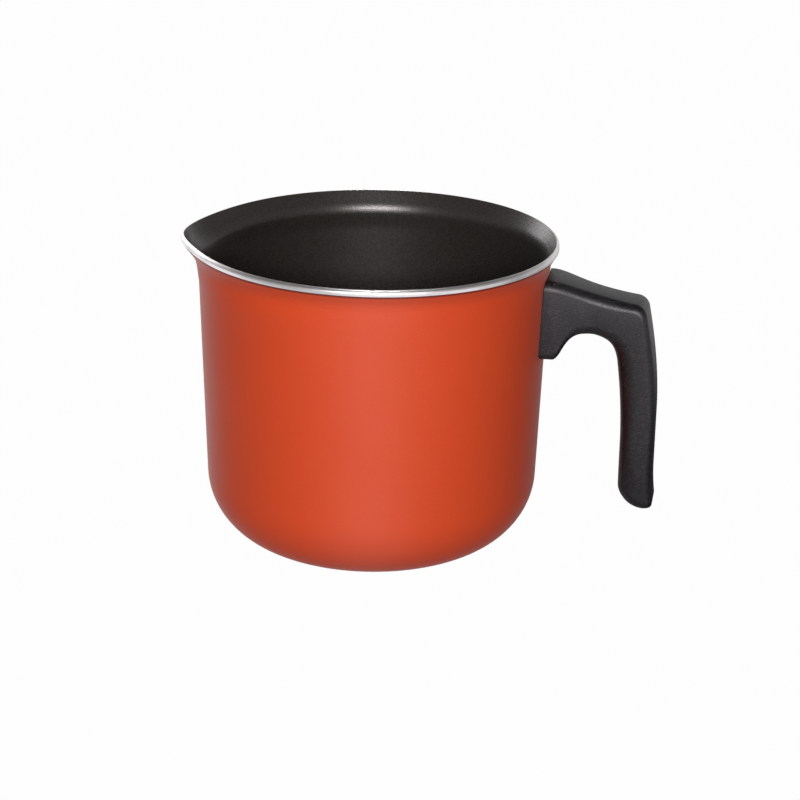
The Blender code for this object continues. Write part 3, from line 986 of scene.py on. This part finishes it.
@dataclass
class Handle:
    """Moulded hook handle: sections carried between its outer and inner lines, seated on the wall."""

    form: PanForm
    drop: float = 0.0112
    strip_crown: float = 0.0005
    strip_level: float = 0.0070
    strip_bend: float = 0.0142
    strip_bow: float = 0.0051
    strip_fall: float = 0.0082
    hook_radius: float = 0.0055
    grip_depth: float = 0.0135
    grip_lean: float = 0.0059
    grip_lean_fall: float = 0.0276
    grip_straight: float = 0.0544
    grip_length: float = 0.0928
    block_height: float = 0.0319
    block_foot: float = 0.0029
    arch_drop: float = 0.0210
    arch_peak: float = 0.0160
    arch_fall: float = 0.0108
    finger_gap: float = 0.0312
    finger_lean: float = 0.0027
    finger_straight: float = 0.0678
    end_kick: float = 0.0009
    end_kick_length: float = 0.0150
    end_slope: float = 0.0006
    widths: tuple[float, ...] = (0.0238, 0.0199, 0.0202, 0.0202)
    width_at_end: float = 0.0192
    inner_edges: tuple[float, ...] = (0.0028, 0.0048, 0.0070, 0.0078)
    outer_edges: tuple[float, ...] = (0.0036, 0.0038, 0.0028, 0.0030)
    crowns: tuple[float, ...] = (0.0005, 0.0006, 0.0003, 0.0)
    near_cap: float = 0.6
    end_radii: tuple[float, float, float] = (0.0086, 0.0029, 0.0040)
    seat_gap: float = 0.0003
    seat_round: float = 0.0002
    bore_reach: float = 0.0137
    bore_seat: float = 0.0155
    bore_radii: tuple[float, float] = (0.0041, 0.0023)
    rise_shares: tuple[float, float] = (0.34, 0.29)
    fall_share: float = 0.62
    steps: tuple[int, int, int, int] = (36, 18, 27, 12)
    edge_steps: int = 10
    end_steps: tuple[int, int] = (10, 14)
    seat_steps: tuple[int, int] = (8, 6)
    seat_core: float = 0.1
    bore_steps: int = 40

    @property
    def top(self) -> float:
        """Height of the handle's top edge at the wall."""
        return self.form.height - self.drop

    @property
    def datum(self) -> Array:
        """Point on the wall that the handle's outline is measured from, as (x, z)."""
        return np.array([self.form.wall_radius(self.top), self.top])

    def hook(self, vertex: Array, before: Array, after: Array) -> Array:
        """Arc that rounds the outer corner: its centre is on the bisector of the corner's two sides.

        Args:
            vertex: Corner.
            before: Point on the side that comes first.
            after: Point on the other side.

        Returns:
            Array of shape (n, 2).
        """
        back = (before - vertex) / np.linalg.norm(before - vertex)
        ahead = (after - vertex) / np.linalg.norm(after - vertex)
        half = math.acos(float(back @ ahead)) / 2
        middle = (back + ahead) / np.linalg.norm(back + ahead)
        centre = vertex + middle * self.hook_radius / math.sin(half)
        reach = self.hook_radius / math.tan(half)
        first, last = vertex + back * reach - centre, vertex + ahead * reach - centre
        angles = math.atan2(first[1], first[0]), math.atan2(last[1], last[0])
        return arc(tuple(centre), self.hook_radius, *angles, self.steps[1] + 1)

    def lines(self) -> tuple[Array, Array]:
        """Inner and outer line of the handle with as many points each, from the wall to the grip's end.

        Returns:
            Two arrays of shape (n, 2), measured from the datum.
        """
        strip_steps, hook_steps, lean_steps, arch_steps = self.steps
        face = self.finger_gap + self.grip_depth
        vertex = np.array([face - self.grip_lean, -self.strip_fall])
        strip_bend = np.array([self.strip_bend, -self.strip_bow])
        lean_middle = np.array([face, vertex[1] - self.grip_lean_fall])
        hook = self.hook(vertex, strip_bend, lean_middle)
        level = (self.strip_level, self.strip_crown)
        strip = bezier([(0, 0), level, strip_bend, hook[0]], strip_steps + 1)
        lean = bezier([hook[-1], lean_middle, (face, -self.grip_straight)], lean_steps + 1)
        outer = np.concatenate([strip, hook[1:], lean[1:]])

        foot = np.array([self.block_foot, -self.block_height])
        peak = np.array([self.arch_peak, -self.arch_drop])
        shoulder = np.array([self.finger_gap - self.finger_lean, -self.arch_drop - self.arch_fall])
        end = np.array([self.finger_gap, -self.finger_straight])
        middle = np.array([end[0], (shoulder[1] + end[1]) / 2])
        span = peak[0] - foot[0]
        low, high = self.rise_shares
        rise = [foot, (foot[0] + span * low, foot[1]), (foot[0] + span * high, peak[1]), peak]
        lean_in = (shoulder - middle) * self.arch_fall * self.fall_share / (shoulder[1] - middle[1])
        over = (peak[0] + (shoulder[0] - peak[0]) * self.fall_share, peak[1])
        fall = [peak, over, shoulder + lean_in, shoulder]
        rise_steps = strip_steps // 2
        fall_steps = rise_steps + hook_steps + arch_steps
        finger_steps = lean_steps - arch_steps
        inner = [bezier(rise, rise_steps + 1), bezier(fall, fall_steps + 1)[1:]]
        inner.append(bezier([shoulder, middle, end], finger_steps + 1)[1:])
        return np.concatenate(inner), outer

    def blend(self, stops: tuple[float, ...], share: Array) -> Array:
        """Value at shares of the way through evenly spaced stops, with smooth steps between them.

        Args:
            stops: Value at each stop.
            share: Shares from 0 to 1.

        Returns:
            One value for each share.
        """
        place = np.minimum(share * (len(stops) - 1), len(stops) - 1)
        first = np.minimum(place.astype(int), len(stops) - 2)
        values = np.array(stops)
        return values[first] + (values[first + 1] - values[first]) * smooth(place - first)

    def sections(
        self, inner: Array, outer: Array, width: Array, near: Array, far: Array, crown: Array
    ) -> Array:
        """Rings of rounded rectangles from inner to outer points: four quarter arcs each.

        The outer side is crowned: it stands proud by the crown times one minus the square of its place
        across the half width, and less towards the inner side.

        Args:
            inner: Inner points of shape (n, 2).
            outer: Outer points of shape (n, 2).
            width: Width of each section across the handle.
            near: Radius of the two inner edges.
            far: Radius of the two outer edges.
            crown: Height of the crown on the outer side.

        Returns:
            Array of shape (n, ring, 3), measured from the datum.
        """
        span = outer - inner
        depth = np.linalg.norm(span, axis=1)
        along = span / depth[:, None]
        most = np.minimum(depth, width)
        near, far = np.minimum(near, most * self.near_cap), np.minimum(far, most * (1 - self.near_cap))
        radius = np.stack([far, near, near, far], axis=1)[:, :, None]
        reach = np.stack([depth - far, near, near, depth - far], axis=1)[:, :, None]
        side = (width / 2)[:, None, None] * np.array([1, 1, -1, -1])[:, None]
        side = side - radius * np.array([1, 1, -1, -1])[:, None]
        angle = np.arange(4)[:, None] * math.pi / 2 + np.linspace(0, math.pi / 2, self.edge_steps)
        a = (reach + radius * np.cos(angle)).reshape(len(inner), -1)
        y = (side + radius * np.sin(angle)).reshape(len(inner), -1)
        bulge = 1 - (2 * y / width[:, None]) ** 2
        a = a + crown[:, None] * bulge * np.clip(2 * a / depth[:, None] - 1, 0, 1)
        x = inner[:, :1] + along[:, :1] * a
        z = inner[:, 1:] + along[:, 1:] * a
        return np.stack([x, y, z], axis=-1)

    def body_rings(self) -> Array:
        """Rings from the block at the wall over the hook to the grip's straight end.

        Returns:
            Array of shape (n, ring, 3), measured from the datum.
        """
        inner, outer = self.lines()
        share = np.linspace(0, 1, len(inner))
        stops = (self.widths, self.inner_edges, self.outer_edges, self.crowns)
        return self.sections(inner, outer, *(self.blend(values, share) for values in stops))

    def end_rings(self) -> Array:
        """Rings that close the grip: its depth, height and width shrink as a quarter circle does.

        Returns:
            Array of shape (n, ring, 3), measured from the datum.
        """
        run_steps, round_steps = self.end_steps
        angle = np.linspace(0, math.pi / 2, round_steps)
        shrink, sink = 1 - np.cos(angle), 1 - np.sin(angle)
        inner_radius, outer_radius, side_radius = self.end_radii
        face = self.finger_gap + self.grip_depth
        high = inner_radius * sink - self.grip_length
        inner = np.stack([self.finger_gap + inner_radius * shrink, high], axis=1)
        low = outer_radius * sink - self.grip_length - self.end_slope
        outer = np.stack([face + self.end_kick - outer_radius * shrink, low], axis=1)
        width = self.width_at_end - 2 * side_radius * shrink

        share = np.linspace(0, 1, run_steps)[:-1]
        start = self.end_kick_length - self.grip_length
        level = 0 * share + self.finger_gap
        kick = face + self.end_kick * share**2
        inner_run = np.stack([level, start + (inner[0, 1] - start) * share], axis=1)
        outer_run = np.stack([kick, start + (outer[0, 1] - start) * share], axis=1)
        run_width = self.widths[-1] + (self.width_at_end - self.widths[-1]) * smooth(share)

        inner, outer = np.concatenate([inner_run, inner]), np.concatenate([outer_run, outer])
        stops = (self.inner_edges, self.outer_edges, self.crowns)
        edges = [np.full(len(inner), values[-1]) for values in stops]
        return self.sections(inner, outer, np.concatenate([run_width, width]), *edges)

    def seat_rings(self, ring: Array) -> Array:
        """Rings from the centre of the seat to the block: they lie on the wall's cone, eased at its edge.

        Args:
            ring: First ring of the block.

        Returns:
            Array of shape (n, ring, 3); the first ring is nearly a point.
        """
        flat_steps, edge_steps = self.seat_steps
        middle = ring.mean(axis=0)
        size = np.abs(ring - middle).max(axis=0)
        turn = np.linspace(0, math.pi / 2, edge_steps)
        edge = self.seat_round / size[2] * (1 - np.sin(turn))
        inset = np.concatenate([np.linspace(1, self.seat_core, flat_steps), edge])
        lift = np.concatenate([np.zeros(flat_steps), self.seat_round * (1 - np.cos(turn))])
        rings = middle + (ring - middle) * (1 - inset)[:, None, None]
        rings[:, :, 0] = self.on_wall(rings) + lift[:, None]
        return rings

    def on_wall(self, points: Array) -> Array:
        """Distance outward, from the datum, of the wall's cone plus the seat gap at each (y, z).

        Args:
            points: Points measured from the datum, of shape (..., 3).

        Returns:
            Array of shape (...).
        """
        y, z = points[..., 1], points[..., 2] + self.top
        radius = self.form.wall_radius(z) + self.seat_gap
        return np.sqrt(radius**2 - y**2) - self.datum[0]

    def bore(self) -> Piece:
        """Cutter for the stepped screw bore: two radii turned about the screw's axis, open below the arch.

        Returns:
            The cutter.
        """
        wide, narrow = self.bore_radii
        low, seat = self.top - self.block_height, self.top - self.bore_seat
        high = self.top - self.bore_seat / 2
        profile = [(0, low), (wide, low), (wide, seat), (narrow, seat), (narrow, high), (0, high)]
        cutter = swept("screw_bore", np.array(profile), self.bore_steps, False)
        cutter.data.transform(Matrix.Translation((self.datum[0] + self.bore_reach, 0, 0)))
        return cutter

    def make(self, workshop: Workshop) -> None:
        """Builds and dresses the moulding.

        Args:
            workshop: Finishes of the pan.
        """
        body = self.body_rings()
        clear = body[:, :, 0] > self.on_wall(body) + self.seat_round
        rings = np.concatenate([self.seat_rings(body[0]), body[clear.all(axis=1)], self.end_rings()])
        poles = np.stack([rings[0].mean(axis=0), rings[-1].mean(axis=0)])
        points = np.concatenate([rings.reshape(-1, 3), poles]) + [self.datum[0], 0, self.datum[1]]
        piece = build("hook_handle", points, tube_faces(*rings.shape[:2]))
        cut(piece, self.bore())
        workshop.dress(piece, Slot.MOULDING)
        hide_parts("handle")


# Studio


def turned(right: float, beyond: float, up: float = 0.0) -> tuple[float, float, float]:
    """Vector in the frame's axes, from its parts to the camera's right, away from the camera and up."""
    sine, cosine = math.sin(CAMERA_TURN), math.cos(CAMERA_TURN)
    return right * cosine - beyond * sine, right * sine + beyond * cosine, up


@dataclass(frozen=True)
class Lamp:
    """Soft oval lamp aimed at the middle of the pan; its azimuth is measured from the camera's."""

    name: str
    azimuth: float
    elevation: float
    distance: float
    size: tuple[float, float]
    level: float

    def make(self, target: Array) -> None:
        """Places the lamp; its power gives the level times a white surface that faces it.

        Args:
            target: Point that the lamp looks at.
        """
        azimuth = self.azimuth + CAMERA_TURN
        data = bpy.data.lights.new(self.name, "AREA")
        data.shape = "ELLIPSE"
        data.size, data.size_y = self.size
        data.energy = math.pi**2 * self.distance**2 * self.level
        level = math.cos(self.elevation)
        away = np.array([math.sin(azimuth) * level, -math.cos(azimuth) * level, math.sin(self.elevation)])
        lamp = put(self.name, data)
        lamp.location = target + away * self.distance
        lamp.rotation_euler = (math.pi / 2 - self.elevation, 0, azimuth)


@dataclass(frozen=True)
class InsideSpot:
    """Spot straight above that lights the pan's floor through its mouth, and the lip with its soft edge."""

    name: str = "inside_spot"
    height: float = 1.2
    mouth: float = 0.060
    softness: float = 0.05
    blend: float = 0.4
    level: float = 0.6

    def make(self, rim: float) -> None:
        """Places the spot; its cone is as wide as the mouth at the rim's height.

        Args:
            rim: Height of the pan's rim.
        """
        data = bpy.data.lights.new(self.name, "SPOT")
        data.energy = 4 * math.pi**2 * self.height**2 * self.level
        data.shadow_soft_size = self.softness
        data.spot_size = 2 * math.atan(self.mouth / (self.height - rim))
        data.spot_blend = self.blend
        put(self.name, data).location = (0, 0, self.height)


@dataclass(frozen=True)
class Viewpoint:
    """Camera at the photograph's place: its distance from the axis, height and turns."""

    distance: float = 0.900
    height: float = 0.3845
    pitch: float = math.radians(20.01)
    yaw: float = math.radians(-0.71)
    roll: float = math.radians(1.05)
    focal_pixels: float = 2356.0
    image_pixels: float = 800.0
    sensor: float = 36.0
    clip_share: float = 0.01

    def axes(self) -> Array:
        """Right, up and back of the camera, from its yaw, then its pitch, then its roll.

        Returns:
            Array of shape (3, 3) with the three axes as columns.
        """
        sp, cp = math.sin(self.pitch), math.cos(self.pitch)
        sy, cy = math.sin(self.yaw), math.cos(self.yaw)
        sr, cr = math.sin(self.roll), math.cos(self.roll)
        ahead = np.array([-sy * cp, cy * cp, -sp])
        right = np.array([cy, sy, 0])
        up = np.array([-sy * sp, cy * sp, cp])
        return np.stack([cr * right + sr * up, cr * up - sr * right, -ahead], axis=1)

    def make(self) -> None:
        """Places the camera and makes it the scene's camera."""
        turn = np.stack([turned(1.0, 0.0), turned(0.0, 1.0), (0.0, 0.0, 1.0)], axis=1)
        matrix = np.eye(4)
        matrix[:3, :3] = turn @ self.axes()
        matrix[:3, 3] = turn @ np.array([0, -self.distance, self.height])
        data = bpy.data.cameras.new("photo_camera")
        data.sensor_width = self.sensor
        data.lens = self.focal_pixels / self.image_pixels * self.sensor
        data.clip_start = self.distance * self.clip_share
        camera = put("photo_camera", data)
        camera.matrix_world = matrix.T.tolist()
        bpy.context.scene.camera = camera


# Painted shade and painted highlight: each disc darkens (glow under 1) or brightens (glow over 1) the floor's
# glow that only reflections see.
@dataclass(frozen=True)
class PaintedDisc:
    """Soft-edged disc of the floor that reflections see darker or brighter, placed as the camera sees it."""

    right: float
    beyond: float
    reach: float
    glow: float


@dataclass
class Studio:
    """Pale floor, white surroundings and soft lamps; reflections see the first two at levels of their own.

    A ramp's first two numbers are heights of a direction or places on the floor, its last two are levels.
    """

    ambient: Ramp = (0.2, 1.0, 0.045, 0.16)
    back_tilt: float = -0.9
    back_glow: Ramp = (-0.3, 0.9, 0.045, 0.95)
    front_glow: Ramp = (0.3, 0.7, 0.30, 0.045)
    side_glow: Ramp = (-0.1, 0.2, 1.0, 0.62)
    near_glow: Ramp = (-0.2, 0.05, 0.57, 1.0)
    far_ring: Ramp = (0.36, 0.44, 0.0, 1.0)
    far_front: Ramp = (-0.25, -0.05, 1.0, 0.0)
    far_glow: Ramp = (-0.25, 0.25, 0.9, 3.0)
    # Painted shade and painted highlight in what reflections see of the floor.
    painted_discs: tuple[PaintedDisc, ...] = (
        PaintedDisc(0.25, 0.06, 0.25, 0.06), PaintedDisc(0.02, -0.13, 0.17, 0.45), PaintedDisc(0.15, -0.15, 0.13, 1.6),
    )
    painted_disc_core: float = 0.5
    floor_reach: float = 4.0
    floor_steps: int = 96
    floor_colour: Colour = (0.52, 0.52, 0.52)
    floor_mottle: float = 0.99
    mottle_size: float = 0.05
    floor_rough: float = 0.9
    floor_specular: float = 0.1
    floor_glow: float = 0.985
    lamps: tuple[Lamp, ...] = (
        Lamp("front_softbox", math.radians(-0.5), math.radians(19), 1.5, (0.95, 0.20), 0.845),
        Lamp("left_fill", math.radians(-142), math.radians(18), 1.6, (0.8, 0.8), 0.15),
    )
    spot: InsideSpot = InsideSpot()

    def rays(self, graph: Graph) -> tuple[Socket, Socket]:
        """Tells rays apart.

        Args:
            graph: Nodes that need to know.

        Returns:
            1 for a ray from the camera or through a clear surface, and 1 for a reflected ray.
        """
        path = graph.add("LightPath").outputs
        seen = graph.calc("MAXIMUM", path["Is Camera Ray"], path["Is Transmission Ray"])
        return seen, path["Is Glossy Ray"]

    def make_world(self) -> None:
        """White to the camera, dimmer in front to reflections, and a low level from above to the rest."""
        world = bpy.data.worlds.new("studio")
        bpy.context.scene.world = world
        world.use_nodes = True
        graph = Graph(world.node_tree)
        seen, glossy = self.rays(graph)
        way = graph.add("TexCoord").outputs["Generated"]
        rise = graph.add("SeparateXYZ", {0: way}).outputs[2]
        tilt = graph.measure("DOT_PRODUCT", way, turned(0.0, 1.0, self.back_tilt))
        behind, front = graph.spread(tilt, self.back_glow), graph.spread(rise, self.front_glow)
        level = graph.mix(glossy, graph.spread(rise, self.ambient), graph.calc("MAXIMUM", behind, front))
        values = {"Strength": graph.mix(seen, level, 1.0), "Color": WHITE}
        graph.feed(world.node_tree.nodes["Background"], values)

    def mirrored(self, graph: Graph, place: Socket) -> Socket:
        """Works out how bright reflections see the floor.

        The level is a product: a ramp across the view, a ramp along it, a gain past a ring in front of
        the pan, and for each disc of painted shade or highlight a ramp of the distance from its middle.

        Args:
            graph: Nodes of the floor's material.
            place: Place on the floor.

        Returns:
            The level.
        """
        aside = graph.measure("DOT_PRODUCT", place, turned(1.0, 0.0))
        beyond = graph.measure("DOT_PRODUCT", place, turned(0.0, 1.0))
        ring = graph.spread(graph.measure("LENGTH", place), self.far_ring)
        share = graph.calc("MULTIPLY", ring, graph.spread(beyond, self.far_front))
        gain = graph.mix(share, 1.0, graph.spread(aside, self.far_glow))
        levels = [graph.spread(beyond, self.near_glow), gain]
        # Painted shade and painted highlight: the discs scale the floor's reflected glow.
        for painted_disc in self.painted_discs:
            away = graph.measure("DISTANCE", place, turned(painted_disc.right, painted_disc.beyond))
            ramp = (painted_disc.reach * self.painted_disc_core, painted_disc.reach, painted_disc.glow, 1.0)
            levels.append(graph.spread(away, ramp))
        product = graph.spread(aside, self.side_glow)
        for level in levels:
            product = graph.calc("MULTIPLY", product, level)
        return product

    def floor_material(self) -> Material:
        """Builds the floor's material: it takes shadows, and glows to the camera and to reflections.

        Returns:
            The material.
        """
        made = bpy.data.materials.new("pale_floor")
        made.use_nodes = True
        nodes = made.node_tree.nodes
        graph = Graph(made.node_tree)
        place = graph.place()
        seen, glossy = self.rays(graph)
        pale = tuple(self.floor_mottle * part for part in self.floor_colour)
        mottle = graph.noise(place, 1 / self.mottle_size)
        shader = graph.feed(nodes["Principled BSDF"], {
            "Base Color": graph.paint(mottle, self.floor_colour, pale),
            "Roughness": self.floor_rough,
            "Specular IOR Level": self.floor_specular,
        })
        strength = graph.mix(glossy, 1.0, self.mirrored(graph, place))
        glow = graph.add("Emission", {"Color": WHITE, "Strength": strength})
        share = graph.calc("MAXIMUM", graph.calc("MULTIPLY", seen, self.floor_glow), glossy)
        both = graph.add("MixShader", {0: share, 1: shader.outputs[0], 2: glow.outputs[0]})
        graph.feed(nodes["Material Output"], {"Surface": both.outputs[0]})
        return made

    def make_floor(self) -> None:
        """Pale disc that shows the shadow under the pan and fades into the white surroundings."""
        angle = np.linspace(0, math.tau, self.floor_steps, endpoint=False)
        rim = self.floor_reach * np.stack([np.cos(angle), np.sin(angle), 0 * angle], axis=1)
        mesh = bpy.data.meshes.new("floor")
        mesh.from_pydata(rim.tolist(), [], [list(range(self.floor_steps))])
        mesh.materials.append(self.floor_material())
        floor = put("floor", mesh)

    def make(self, rim: float) -> None:
        """Builds the world, the floor and the lamps.

        Args:
            rim: Height of the pan's rim; the lamps aim at half of it.
        """
        self.make_world()
        self.make_floor()
        for lamp in self.lamps:
            lamp.make(np.array([0, 0, rim / 2]))
        self.spot.make(rim)


def main() -> None:
    """Loads the frame, builds and dresses every piece, and sets the studio and the camera."""
    logging.basicConfig(level=logging.INFO, format="%(message)s")
    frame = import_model()
    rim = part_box("pan_body")[1][2]
    form = PanForm(height=rim)
    workshop = Workshop()
    Pan(form).make(workshop)
    Handle(form).make(workshop)
    for name, slot in FITTINGS.items():
        workshop.redress(frame["nodes"][name], slot)
    Studio().make(rim)
    Viewpoint().make()
    bpy.context.scene.view_settings.view_transform = "Standard"


if __name__ == "__main__":
    main()
